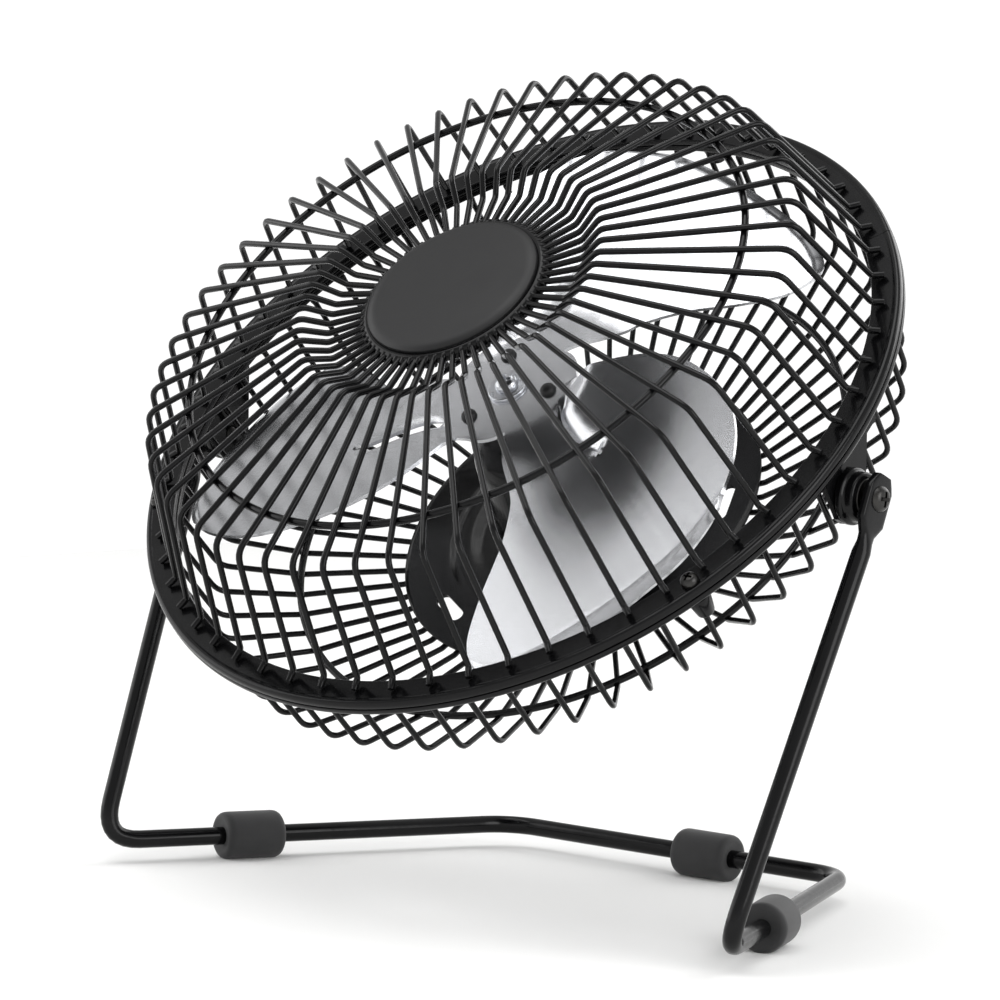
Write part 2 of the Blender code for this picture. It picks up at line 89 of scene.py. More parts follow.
def soft_light(name, place, size, power):
    """A square light at a place in metres from the head, facing the head."""
    light = bpy.data.lights.new(name, "AREA")
    light.size = size
    light.energy = power
    lamp = bpy.data.objects.new(name, light)
    lamp.location = Vector(centre) + Vector(place)
    lamp.rotation_euler = (-Vector(place)).to_track_quat("-Z", "Y").to_euler()
    bpy.context.scene.collection.objects.link(lamp)


soft_light("light_over", (-0.1, -0.2, 0.9), 0.8, 5)
soft_light("light_left", (-0.9, -0.35, 0.35), 0.8, 3)
soft_light("light_right", (0.95, -0.1, 0.3), 0.6, 4)
soft_light("light_behind", (0.2, 0.9, 0.5), 0.7, 4)
bpy.context.scene.view_settings.view_transform = "Standard"


def linear(hex_colour):
    """An sRGB hex colour as linear red, green, blue and alpha."""
    value = np.array([int(hex_colour[i:i + 2], 16) for i in (1, 3, 5)]) / 255
    value = np.where(value <= 0.04045, value / 12.92, ((value + 0.055) / 1.055) ** 2.4)
    return (*value.tolist(), 1.0)


def material(name, colour, roughness, metallic=0.0, **more):
    """A named material with its shader's own sockets set, and its node tree and shader."""
    mat = bpy.data.materials.new(name)
    mat.use_nodes = True
    shader = mat.node_tree.nodes["Principled BSDF"]
    sockets = {"Base Color": linear(colour), "Roughness": roughness, "Metallic": metallic, **more}
    for socket, value in sockets.items():
        shader.inputs[socket].default_value = value
    return mat, mat.node_tree, shader


def add_node(tree, kind, inputs, **settings):
    """A node with its settings, and with each input set to a value or linked to a socket."""
    node = tree.nodes.new(kind)
    for setting, value in settings.items():
        setattr(node, setting, value)
    for socket, value in inputs.items():
        if isinstance(value, bpy.types.NodeSocket):
            tree.links.new(value, node.inputs[socket])
        else:
            node.inputs[socket].default_value = value
    return node


# The studio: white round the horizon, and dimmer overhead, so that gloss shows dark too.
world = bpy.data.worlds.new("studio")
bpy.context.scene.world = world
world.use_nodes = True
sky = world.node_tree
height = add_node(sky, "ShaderNodeSeparateXYZ", {
    "Vector": add_node(sky, "ShaderNodeTexCoord", {}).outputs["Generated"]}).outputs["Z"]
glow = add_node(sky, "ShaderNodeMapRange", {
    "Value": height, "From Min": 0.08, "From Max": 0.5, "To Min": 1.1, "To Max": 0.62})
sky.nodes["Background"].inputs["Color"].default_value = (1, 1, 1, 1)
sky.links.new(glow.outputs["Result"], sky.nodes["Background"].inputs["Strength"])

# Matt white card: a trace of paper tooth, so that shadows stay soft on it.
card, tree, shader = material("white_card", "#f4f4f3", 0.9)
place = add_node(tree, "ShaderNodeTexCoord", {}).outputs["Object"]
tooth = add_node(tree, "ShaderNodeTexNoise", {"Vector": place, "Scale": 700.0})
bump = add_node(tree, "ShaderNodeBump", {"Height": tooth.outputs["Fac"], "Strength": 0.05,
                                         "Distance": 0.0002})
tree.links.new(bump.outputs["Normal"], shader.inputs["Normal"])


def grid_faces(rows, columns, join_rows, join_columns):
    """Quads between neighbouring points of a grid, whose rows or columns may join up in a ring."""
    row = np.arange(rows if join_rows else rows - 1)[:, None]
    column = np.arange(columns if join_columns else columns - 1)[None, :]
    next_row, next_column = (row + 1) % rows, (column + 1) % columns
    corners = [row * columns + column, next_row * columns + column,
               next_row * columns + next_column, row * columns + next_column]
    return np.stack(np.broadcast_arrays(*corners), axis=-1).reshape(-1, 4)


def mesh_piece(name, grids, mat, sharp=35.0):
    """One mesh from grids, each (points, join_rows, join_columns), closed at its poles."""
    points, faces, count = [], [], 0
    for grid, join_rows, join_columns in grids:
        faces.append(grid_faces(*grid.shape[:2], join_rows, join_columns) + count)
        points.append(grid.reshape(-1, 3))
        count += grid.shape[0] * grid.shape[1]
    mesh = bpy.data.meshes.new(name)
    mesh.from_pydata(np.concatenate(points).tolist(), [], np.concatenate(faces).tolist())
    shell = bmesh.new()
    shell.from_mesh(mesh)
    bmesh.ops.remove_doubles(shell, verts=shell.verts, dist=0.000002)
    bmesh.ops.recalc_face_normals(shell, faces=shell.faces)
    shell.to_mesh(mesh)
    shell.free()
    mesh.shade_smooth()
    mesh.set_sharp_from_angle(angle=np.radians(sharp))
    mesh.materials.append(mat)
    piece = bpy.data.objects.new(name, mesh)
    bpy.context.scene.collection.objects.link(piece)
    return piece


card_line = np.linspace(-0.6, 0.6, 24)
sweep_u, sweep_v = np.meshgrid(card_line, card_line, indexing="ij")
floor = mesh_piece("floor", [(np.stack([sweep_u, sweep_v, 0 * sweep_u], axis=-1), False, False)],
                   card)
floor.data.flip_normals()

# ---- Stand -------------------------------------------------------------------------------------
# One steel rod, bent cold into a floor frame and two uprights that lean in towards the floor, with
# both ends hammered flat into eyes for the pivot screws. Dipped and baked in gloss black enamel.
# Enamel: deep black under a hard gloss that pools slightly, which ripples the reflections.
enamel, tree, shader = material("black_enamel", "#080809", 0.17, 0.0, **{
    "Specular IOR Level": 0.2})
place = add_node(tree, "ShaderNodeTexCoord", {}).outputs["Object"]
pooling = add_node(tree, "ShaderNodeTexNoise", {"Vector": place, "Scale": 420.0, "Detail": 1.0})
patches = add_node(tree, "ShaderNodeTexNoise", {"Vector": place, "Scale": 90.0, "Detail": 3.0})
spread = add_node(tree, "ShaderNodeMapRange", {
    "Value": patches.outputs["Fac"], "From Min": 0.3, "From Max": 0.7, "To Min": 0.13,
    "To Max": 0.22})
shade = add_node(tree, "ShaderNodeMix", {
    "Factor": patches.outputs["Fac"], "A": linear("#060607"), "B": linear("#0c0c0d")},
    data_type="RGBA")
bump = add_node(tree, "ShaderNodeBump", {"Height": pooling.outputs["Fac"], "Strength": 0.25,
                                         "Distance": 0.00012})
tree.links.new(spread.outputs["Result"], shader.inputs["Roughness"])
tree.links.new(shade.outputs["Result"], shader.inputs["Base Color"])
tree.links.new(bump.outputs["Normal"], shader.inputs["Normal"])


def finish(piece, body, slot, *nodes):
    """Ties a piece to its body and hides the CAD nodes that it stands for. The slot is not used."""
    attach(piece, body)
    if nodes:
        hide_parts(*nodes)
    return piece


def bend(corners, radii, steps=7):
    """A path through corners, each inner one rounded by a quadratic curve of about that radius."""
    corners = np.asarray(corners, float)
    t = np.linspace(0, 1, steps)[:, None]
    rows = [corners[:1]]
    for before, corner, after, radius in zip(corners, corners[1:], corners[2:], radii):
        arrive = (before - corner) / np.linalg.norm(before - corner)
        leave = (after - corner) / np.linalg.norm(after - corner)
        half = np.arccos(np.clip(arrive @ leave, -1, 1)) / 2
        reach = radius / np.tan(half)
        rows.append(corner + arrive * reach * (1 - t) ** 2 + leave * reach * t ** 2)
    rows.append(corners[-1:])
    return np.concatenate(rows)


def refine(path, step):
    """The same path with points no further apart than a step."""
    length = np.concatenate([[0], np.cumsum(np.linalg.norm(np.diff(path, axis=0), axis=1))])
    parts = [np.linspace(a, b, max(2, int(np.ceil((b - a) / step)) + 1))[:-1]
             for a, b in zip(length, length[1:])]
    at = np.concatenate(parts + [length[-1:]])
    return np.stack([np.interp(at, length, path[:, k]) for k in range(3)], axis=1)


def carry(path, section, across, join=False):
    """Carries a section, (points, 2) or one for each place, along a path. Its first coordinate lies
    square to both the path and the given direction, its second square to that and the path."""
    if join:
        along = np.roll(path, -1, axis=0) - np.roll(path, 1, axis=0)
    else:
        along = np.gradient(path, axis=0)
    along = along / np.linalg.norm(along, axis=-1, keepdims=True)
    first = np.cross(along, across)
    first = first / np.linalg.norm(first, axis=-1, keepdims=True)
    second = np.cross(first, along)
    section = np.broadcast_to(section, (len(path), *section.shape[-2:]))
    return (path[:, None] + section[..., :1] * first[:, None] + section[..., 1:] * second[:, None])


def capped(grid):
    """A tube with its two ends drawn in to their middles, which closes them."""
    ends = grid[[0, -1]].mean(axis=1, keepdims=True)
    ends = np.broadcast_to(ends, (2, *grid.shape[1:]))
    return np.concatenate([ends[:1], grid, ends[1:]])


rod_r = 2.05
tilt_at = np.array(joints["head_tilt"]["pos_m"]) / MM
stand_low, stand_high = (np.array(corner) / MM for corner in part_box("stand_frame"))
eye_x = stand_high[0] - 1.0
rod_z = stand_low[2] + rod_r
corner_round = 1.05
front_corner = np.array([87.1, stand_low[1] - corner_round, rod_z])
rear_corner = np.array([47.9, stand_high[1] - rod_r, rod_z])
pivot_right = np.array([eye_x, tilt_at[1], tilt_at[2]])
lean = pivot_right - front_corner
lean = np.array([0.0, lean[1], lean[2]]) / np.hypot(lean[1], lean[2])
half_stand = np.array([pivot_right + lean * 5.0, pivot_right - lean * 10.0, front_corner,
                       rear_corner])
mirror = np.array([-1.0, 1.0, 1.0])
rod_path = refine(bend(np.concatenate([half_stand, half_stand[::-1] * mirror]),
                       (10, 7, 12, 12, 7, 10), 10), 1.6)
from_eye = np.where(rod_path[:, 2] > tilt_at[2] - 25,
                    (rod_path - pivot_right * np.where(rod_path[:, :1] > 0, 1, mirror)) @ lean, -25)
half_width = np.interp(from_eye, [-9.5, -7.6, -5.6, 2.4, 5.0], [rod_r, 2.3, 4.2, 4.2, 2.3])
half_thick = np.interp(from_eye, [-12.0, -7.5], [rod_r, 1.0])
flatness = np.interp(from_eye, [-9.5, -6.5], [1.0, 0.32])
turn = np.linspace(0, 2 * np.pi, 28, endpoint=False)
section = np.stack([
    half_thick[:, None] * np.sign(np.cos(turn)) * np.abs(np.cos(turn)) ** flatness[:, None],
    half_width[:, None] * np.sign(np.sin(turn)) * np.abs(np.sin(turn)) ** flatness[:, None]],
    axis=-1)
rod = carry(rod_path, section, np.array([0.0, -lean[2], lean[1]])) * MM
stand = mesh_piece("stand_rod", [(capped(rod), False, True)], enamel, 50)
finish(stand, "stand", "black_paint", "stand_frame")

# ---- Feet --------------------------------------------------------------------------------------
# Three sleeves cut from thick rubber hose and pushed on to the rod before its last bends. Their
# ends are rounded over and the weight of the fan flattens them slightly where they stand.
# Rubber: dark grey, with a dull bloom and the fine drag marks of the extruder.
rubber, tree, shader = material("black_rubber", "#1e1e1f", 0.72, 0.0, **{"Sheen Weight": 0.15})
place = add_node(tree, "ShaderNodeTexCoord", {}).outputs["Object"]
bloom = add_node(tree, "ShaderNodeTexNoise", {"Vector": place, "Scale": 260.0, "Detail": 6.0})
grain = add_node(tree, "ShaderNodeTexNoise", {"Vector": place, "Scale": 2600.0, "Detail": 2.0})
shade = add_node(tree, "ShaderNodeMix", {
    "Factor": bloom.outputs["Fac"], "A": linear("#151516"), "B": linear("#272728")},
    data_type="RGBA")
bump = add_node(tree, "ShaderNodeBump", {"Height": grain.outputs["Fac"], "Strength": 0.5,
                                         "Distance": 0.00006})
tree.links.new(shade.outputs["Result"], shader.inputs["Base Color"])
tree.links.new(bump.outputs["Normal"], shader.inputs["Normal"])


def turned(profile, at=centre, axis=forward, steps=96, start=0.0, sweep=360.0):
    """Turns a profile of (radius, height), in millimetres, round an axis through a point."""
    profile = np.asarray(profile, float) * MM
    axis = np.asarray(axis, float)
    axis = axis / np.linalg.norm(axis)
    first = sideways if abs(axis[0]) < 0.9 else np.array([0.0, 0.0, 1.0])
    first = first - axis * (first @ axis)
    first = first / np.linalg.norm(first)
    second = np.cross(axis, first)
    full = abs(sweep - 360) < 1e-6
    angle = np.radians(start + np.linspace(0, sweep, steps, endpoint=not full))[:, None, None]
    radius, height = profile[None, :, :1], profile[None, :, 1:]
    return at + radius * (np.cos(angle) * first + np.sin(angle) * second) + height * axis


def round_off(profile, radius, closed=True, steps=4):
    """A profile with each corner rounded by a quadratic curve, or each inner one if it is open."""
    profile = np.asarray(profile, float)
    count = len(profile)
    t = np.linspace(0, 1, steps)[:, None]
    radius = np.broadcast_to(radius, count)
    rows = []
    for i in range(count):
        corner, before, after = profile[i], profile[i - 1], profile[(i + 1) % count]
        if radius[i] == 0 or (not closed and i in (0, count - 1)):
            rows.append(corner[None])
            continue
        toward = before - corner, after - corner
        reach = [d / np.linalg.norm(d) * min(radius[i], np.linalg.norm(d) * 0.48) for d in toward]
        rows.append(corner + reach[0] * (1 - t) ** 2 + reach[1] * t ** 2)
    return np.concatenate(rows)


def spun(name, profile, mat, body, slot, *nodes, closed=True, **where):
    """A turned piece: an open profile starts and ends on the axis."""
    grid = turned(profile, **where)
    return finish(mesh_piece(name, [(grid, True, closed)], mat), body, slot, *nodes)


foot_half = 7.5
sleeve = round_off([(rod_r, foot_half - 0.6), (5.5, foot_half), (5.5, -foot_half),
                    (rod_r, 0.6 - foot_half)], [0, 2.0, 2.0, 0], steps=7)
for foot in ("foot_left", "foot_right", "foot_rear"):
    low, high = (np.array(corner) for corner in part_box(foot))
    middle = (low + high) / 2
    middle[2] = rod_z * MM
    run = (rear_corner - front_corner) * (mirror if middle[0] < 0 else 1)
    run = run if foot != "foot_rear" else sideways
    grid = turned(sleeve, middle, run, 48)
    grid[..., 2] = np.maximum(grid[..., 2], 0.0)
    finish(mesh_piece(foot + "_sleeve", [(grid, True, True)], rubber), "stand", "rubber", foot)

# ---- Rims --------------------------------------------------------------------------------------
# Two rings rolled from flat steel strip, butt-jointed at one place and laid face to face, so that a
# dark line runs between them. Each has a rolled bead just inside its outer edge. Same black enamel.
rim_in = 83.2
strip = 1.6
bead = round_off([(rim_in, 0), (88.2, 0), (88.7, 0.16), (89.5, 0.16), (90, -0.5),
                  (90, -strip), (rim_in, -strip)], [0.3, 0.2, 0.3, 0.4, 0.4, 0.25, 0.25], steps=4)
bead[:, 0] *= rim_r / 90
joint_at = 40.5
rim = turned(bead, steps=241, start=joint_at + 0.05, sweep=359.9)
finish(mesh_piece("front_ring", [(capped(rim), False, True)], enamel, 50), "head", "black_paint",
       "front_rim")
back_bead = bead * (1, -1) - (0, 2 * strip + 0.3)
rim = turned(back_bead, steps=241, start=joint_at + 0.05, sweep=359.9)
finish(mesh_piece("rear_ring", [(capped(rim), False, True)], enamel, 50), "head", "black_paint",
       "rear_rim")

# ---- Front guard -------------------------------------------------------------------------------
# Sixty straight wires, each joggled near the hub, bent over at the edge and spot-welded to the
# front rim. One support ring runs behind them, and their inner ends are welded to a tight coil.
wire_count = 60
wire_r = 0.71


def radial_wires(profile, radii, radius, start, swell, step=2.6, sides=8):
    """Every wire of a guard: a rounded profile of (radius, height) carried round the axis, with a
    round section that swells by given factors at its ends, where it is welded."""
    flat = bend(np.pad(np.asarray(profile, float), ((0, 0), (0, 1))), radii, 6)
    flat = refine(flat, step)
    length = np.concatenate([[0], np.cumsum(np.linalg.norm(np.diff(flat, axis=0), axis=1))])
    size = np.interp(length, [0, 2, length[-1] - 2.4, length[-1] - 1.2, length[-1]],
                     [swell[0], 1, 1, swell[1], swell[1] * 0.7]) * radius
    turn = np.linspace(0, 2 * np.pi, sides, endpoint=False)
    section = size[:, None, None] * np.stack([np.cos(turn), np.sin(turn)], axis=-1)
    tube = capped(carry(flat, section, np.array([0.0, 0.0, 1.0])))
    angle = np.radians(start + np.arange(wire_count) * 360 / wire_count)
    x, z, y = (tube[..., k][None] for k in range(3))
    cos, sin = (f(angle)[:, None, None] for f in (np.cos, np.sin))
    return [(wire, False, True)
            for wire in in_head(np.stack([x * cos - y * sin, x * sin + y * cos, z + 0 * cos], -1))]


front_profile = [(19.5, 32.4), (29.9, 32.4), (35.4, 35.9), (76.2, 27.2), (84.0, 1.6), (86.6, 0.75)]
front_wires = radial_wires(front_profile, (2.6, 3.0, 4.5, 1.2), wire_r, 0.6, (1.0, 1.45))
finish(mesh_piece("front_wires", front_wires, enamel, 60), "head", "black_paint", "front_grille")


def wire_ring(radius, height, wire, steps=180):
    """A ring of round wire about the fan's axis."""
    angle = np.linspace(0, 2 * np.pi, 14, endpoint=False)
    section = np.stack([radius + wire * np.cos(angle), height - wire * np.sin(angle)], axis=-1)
    return turned(section, steps=steps)


ring_height = 28.05
support = mesh_piece("front_support", [(wire_ring(65.4, ring_height, 0.85), True, True)], enamel)
finish(support, "head", "black_paint", "front_support_ring")

coil_turns, coil_r, coil_height = 66, 20.9, 31.95
at = np.linspace(0, 2 * np.pi, coil_turns * 9, endpoint=False)
coil_turn = at * coil_turns
path_r = coil_r + 1.15 * np.cos(coil_turn)
coil_path = np.stack([path_r * np.cos(at), path_r * np.sin(at),
                      coil_height + np.sin(coil_turn)], axis=-1)
angle = np.linspace(0, 2 * np.pi, 7, endpoint=False)
coil_section = 0.6 * np.stack([np.cos(angle), np.sin(angle)], axis=-1)
tangent = np.stack([-np.sin(at), np.cos(at), 0 * at], axis=-1)
coil = in_head(carry(coil_path, coil_section, tangent, join=True))
core = wire_ring(20.4, 32.15, 1.35)
finish(mesh_piece("wire_end_coil", [(coil, True, True), (core, True, True)], enamel, 60), "head",
       "black_paint")

# ---- Badge -------------------------------------------------------------------------------------
# A pressed steel cap that covers the wire ends, slightly domed with a rounded edge. It is plain
# here. Its paint is the same black, but satin, so it spreads the light instead of mirroring it.
satin, tree, shader = material("satin_black_lacquer", "#101011", 0.38, 0.0, **{
    "Specular IOR Level": 0.3})
place = add_node(tree, "ShaderNodeTexCoord", {}).outputs["Object"]
stipple = add_node(tree, "ShaderNodeTexNoise", {"Vector": place, "Scale": 1500.0, "Detail": 2.0})
cloud = add_node(tree, "ShaderNodeTexNoise", {"Vector": place, "Scale": 70.0, "Detail": 4.0})
spread = add_node(tree, "ShaderNodeMapRange", {
    "Value": cloud.outputs["Fac"], "From Min": 0.3, "From Max": 0.7, "To Min": 0.36,
    "To Max": 0.5})
bump = add_node(tree, "ShaderNodeBump", {"Height": stipple.outputs["Fac"], "Strength": 0.25,
                                         "Distance": 0.00004})
tree.links.new(spread.outputs["Result"], shader.inputs["Roughness"])
tree.links.new(bump.outputs["Normal"], shader.inputs["Normal"])
cap = round_off([(0, 35.3), (10, 35.15), (18.6, 34.8), (20.0, 34.1), (20.0, 33.4), (0, 33.4)],
                [0, 2, 1.2, 0.3, 0.1, 0], closed=False, steps=6)
spun("badge_cap", cap, satin, "head", "badge_black", "front_badge", closed=False)

# ---- Rear guard --------------------------------------------------------------------------------
# Sixty thinner wires welded behind the rear rim, bent round the blades' edge and welded to the back
# of the motor plate, with a support ring inside them. The same enamel as the front.
rear_profile = [(39.8, -38.95), (44.0, -38.95), (66.0, -31.9), (82.9, -22.6), (84.5, -5.2),
                (85.8, -4.15)]
rear_wires = radial_wires(rear_profile, (2.5, 5, 5, 1.0), 0.66, 4.0, (1.0, 1.3), 3.4)
rear = rear_wires + [(wire_ring(66.0, -30.55, 0.85), True, True)]
finish(mesh_piece("rear_wires", rear, enamel, 60), "head", "black_paint", "rear_grille")

# ---- Rim screws and nuts -----------------------------------------------------------------------
# Three small cross-head screws clamp the rims together. Each runs into a tapered weld nut behind,
# which is enamelled with the guard, while the screws are black zinc plated.
# Black zinc: metal under a thin dark passivated layer, brownish where the light skims it.
black_zinc, tree, shader = material("black_zinc_plate", "#3a3a3d", 0.3, 1.0)
place = add_node(tree, "ShaderNodeTexCoord", {}).outputs["Object"]
crystal = add_node(tree, "ShaderNodeTexVoronoi", {"Vector": place, "Scale": 1800.0})
wear = add_node(tree, "ShaderNodeTexNoise", {"Vector": place, "Scale": 500.0, "Detail": 4.0})
shade = add_node(tree, "ShaderNodeMix", {
    "Factor": wear.outputs["Fac"], "A": linear("#29292c"), "B": linear("#4a4946")},
    data_type="RGBA")
spread = add_node(tree, "ShaderNodeMapRange", {
    "Value": crystal.outputs["Distance"], "To Min": 0.26, "To Max": 0.4})
tree.links.new(shade.outputs["Result"], shader.inputs["Base Color"])
tree.links.new(spread.outputs["Result"], shader.inputs["Roughness"])


def cut(piece, *cutters):
    """Cuts closed shapes out of a piece for good, and takes the cutters away."""
    for cutter in cutters:
        modifier = piece.modifiers.new("cut", "BOOLEAN")
        modifier.operation = "DIFFERENCE"
        modifier.object = cutter
    bpy.context.view_layer.update()
    graph = bpy.context.evaluated_depsgraph_get()
    mesh = bpy.data.meshes.new_from_object(piece.evaluated_get(graph))
    piece.modifiers.clear()
    piece.data = mesh
    mesh.shade_smooth()
    mesh.set_sharp_from_angle(angle=np.radians(35))
    for cutter in cutters:
        bpy.data.objects.remove(cutter)
    return piece


def cross_recess(at, axis, top, size, depth, spin=0.0):
    """Two crossed tapered bars that stand above a screw head, to cut its driver recess."""
    bars = []
    for quarter in (0, 90):
        half = np.array([[1, 0.22], [-1, 0.22], [-1, -0.22], [1, -0.22]]) * size
        rows = np.stack([half * (0.45, 0.6), half, half], axis=0)
        height = np.array([top - depth, top, top + 1.0])
        c, s = np.cos(np.radians(spin + quarter)), np.sin(np.radians(spin + quarter))
        flat = rows @ np.array([[c, s], [-s, c]])
        axis = np.asarray(axis, float)
        first = np.cross(axis, np.array([0.31, 0.42, 0.85]))
        first = first / np.linalg.norm(first)
        second = np.cross(axis, first)
        grid = at + MM * (flat[..., :1] * first + flat[..., 1:] * second
                          + height[:, None, None] * axis)
        bars.append(mesh_piece("recess", [(capped(grid), False, True)], black_zinc))
    return bars


def cross_head_screw(name, at, axis, radius, height, shank, length, mat, body, slot, *nodes,
                     spin=0.0):
    """A pan-head screw whose head starts at a point, with its shank running the other way."""
    head = round_off([(0, height), (radius * 0.72, height * 0.93), (radius, height * 0.45),
                      (radius, 0), (shank, 0), (shank, -length), (0, -length)],
                     [0, radius * 0.3, radius * 0.25, 0.1, 0.1, 0.2, 0], closed=False, steps=5)
    screw = mesh_piece(name, [(turned(head, at, axis, 40), True, False)], mat)
    cut(screw, *cross_recess(at, axis, height, radius * 0.62, height * 0.62, spin))
    return finish(screw, body, slot, *nodes)


for number, angle in enumerate((88.0, 208.0, 328.0), 1):
    radial = np.array([np.cos(np.radians(angle)), np.sin(np.radians(angle))]) * 86.9
    at = in_head([radial[0], radial[1], 0.1])
    cross_head_screw(f"rim_fixing_{number}", at, forward, 2.0, 1.9, 0.95, 6.5, black_zinc, "head",
                     "black_screw", f"rim_screw_{number}", spin=angle * 1.7)
    nut = round_off([(0, -8.9), (1.9, -8.9), (2.6, -5.2), (2.75, -3.6), (0, -3.6)][::-1],
                    [0, 0.3, 0.5, 0.4, 0], closed=False)
    spun(f"weld_nut_{number}", nut, enamel, "head", "black_paint", f"rim_nut_{number}",
         closed=False, at=in_head([radial[0], radial[1], 0]), steps=32)

# ---- Motor plate and can -----------------------------------------------------------------------
# A round steel plate, pressed with a shallow step and pierced with oval slots, carries the motor.
# The motor sits in a drawn can that tapers towards the impeller. Both are enamelled.
plate_w, plate_t, plate_r = -37.3, 0.9, 43.3
plate = round_off([(0, plate_w), (24, plate_w), (26.5, plate_w + 0.9), (30, plate_w + 0.9),
                   (32, plate_w), (plate_r - 1, plate_w), (plate_r, plate_w - 0.3),
                   (plate_r, plate_w - plate_t), (32, plate_w - plate_t),
                   (30, plate_w), (26.5, plate_w), (24, plate_w - plate_t),
                   (0, plate_w - plate_t)], [0, 1, 1, 1, 1, 0.5, 0.2, 0.2, 1, 1, 1, 1, 0], False)
disc = mesh_piece("motor_disc", [(turned(plate, steps=128), True, False)], enamel)


def oval_slot(angle, radius, half_length, half_width):
    """A straight slot with round ends, square to its radius, as a shape to cut with."""
    turn = np.linspace(0, 2 * np.pi, 32, endpoint=False)
    across = radius + half_width * np.cos(turn)
    along = (half_length - half_width) * np.sign(np.sin(turn)) + half_width * np.sin(turn)
    c, s = np.cos(np.radians(angle)), np.sin(np.radians(angle))
    flat = np.stack([across * c - along * s, across * s + along * c], axis=-1)
    rows = [np.column_stack([flat, np.full(len(flat), w)]) for w in (-42.0, -33.0)]
    return mesh_piece("slot", [(capped(in_head(np.stack(rows))), False, True)], enamel)


slot_circle, slot_half_length, slot_half_width = 36.0, 5.2, 1.6
cut(disc, *[oval_slot(angle, slot_circle, slot_half_length, slot_half_width)
            for angle in (13, 126, 239)])
finish(disc, "head", "black_paint", "motor_plate")
can = round_off([(0, -6.0), (10.5, -6.6), (15.0, -11.0), (18.4, -34.5), (20.6, -36.2),
                 (20.6, -37.2), (0, -37.2)], [0, 2, 3.5, 2, 0.6, 0.2, 0], closed=False, steps=7)
spun("motor_housing", can, enamel, "head", "black_paint", "motor_can",
     closed=False)

# ---- Motor cover and switch --------------------------------------------------------------------
# A moulded cover closes the back of the motor, and a rocker switch snaps into it. Both are ABS with
# a fine spark-eroded texture: dull black, and slightly greyer than the enamel beside it.
moulded, tree, shader = material("black_abs", "#151516", 0.5, 0.0, **{
    "Specular IOR Level": 0.4})
place = add_node(tree, "ShaderNodeTexCoord", {}).outputs["Object"]
spark = add_node(tree, "ShaderNodeTexNoise", {"Vector": place, "Scale": 1900.0, "Detail": 3.0})
cloud = add_node(tree, "ShaderNodeTexNoise", {"Vector": place, "Scale": 60.0, "Detail": 3.0})
spread = add_node(tree, "ShaderNodeMapRange", {
    "Value": cloud.outputs["Fac"], "From Min": 0.3, "From Max": 0.7, "To Min": 0.42,
    "To Max": 0.58})
bump = add_node(tree, "ShaderNodeBump", {"Height": spark.outputs["Fac"], "Strength": 0.6,
                                         "Distance": 0.00005})
tree.links.new(spread.outputs["Result"], shader.inputs["Roughness"])
tree.links.new(bump.outputs["Normal"], shader.inputs["Normal"])
cover_end = -54.0
cover = round_off([(0, -38.4), (30.2, -38.4), (30.2, -40.4), (29.2, -40.8), (29.2, -42.0),
                   (27.0, -50.2), (22.0, cover_end), (17.0, cover_end), (16.4, cover_end + 0.7),
                   (15.8, cover_end), (0, cover_end)],
                  [0, 0.6, 0.3, 0.3, 1, 3, 2.5, 0.2, 0.3, 0.2, 0], closed=False, steps=6)
spun("motor_cover", cover, moulded, "head", "black_plastic", "motor_rear_cover",
     closed=False, steps=128)


def loop_of_box(half_x, half_y, radius, steps=7):
    """Outline of a rectangle with round corners."""
    quarter = np.radians(np.linspace(0, 90, steps))
    arcs = []
    for k, corner in enumerate(((1, 1), (-1, 1), (-1, -1), (1, -1))):
        angle = quarter + k * np.pi / 2
        arcs.append(np.stack([np.cos(angle), np.sin(angle)], -1) * radius
                    + np.array(corner) * (half_x - radius, half_y - radius))
    return np.concatenate(arcs)


switch_y = 9.0
low = cover_end - 0.15
rims_of_bezel = [(4.15, 6.6, 0.5, low), (5.75, 8.0, 1.2, low), (5.75, 8.0, 1.2, low - 3.6),
                 (5.35, 7.6, 1.0, low - 4.3), (4.35, 6.8, 0.6, low - 4.3),
                 (4.15, 6.6, 0.5, low - 4.0)]
bezel = np.stack([np.column_stack([loop_of_box(x, y, r) + (0, switch_y), np.full(28, w)])
                  for x, y, r, w in rims_of_bezel])
finish(mesh_piece("switch_bezel", [(in_head(bezel), True, True)], moulded, 30), "head",
       "black_plastic", "switch_housing")
rocker_at = np.array(joints["switch_rock"]["pos_m"])
tip = np.radians(6.0)
key_half_x, key_half_y, key_hollow = 3.6, 5.8, 0.9
outline = loop_of_box(key_half_x, key_half_y, 0.5)
layers = []
for size, depth in ((0.96, 0.9), (1.0, 0.7), (1.0, -1.1), (0.95, -1.45), (0.6, -1.5), (0.2, -1.5)):
    flat = outline * size
    dish = depth - (key_hollow * (np.abs(flat[:, 1]) / key_half_y) ** 2 if depth < 0 else 0)
    tilted = np.column_stack([flat[:, 0], flat[:, 1] * np.cos(tip) - dish * np.sin(tip),
                              flat[:, 1] * np.sin(tip) + dish * np.cos(tip)])
    layers.append(rocker_at + tilted * MM @ head_axes)
key = mesh_piece("switch_key", [(capped(np.stack(layers)), False, True)], moulded, 30)
finish(key, "switch_rocker", "black_plastic", "rocker")

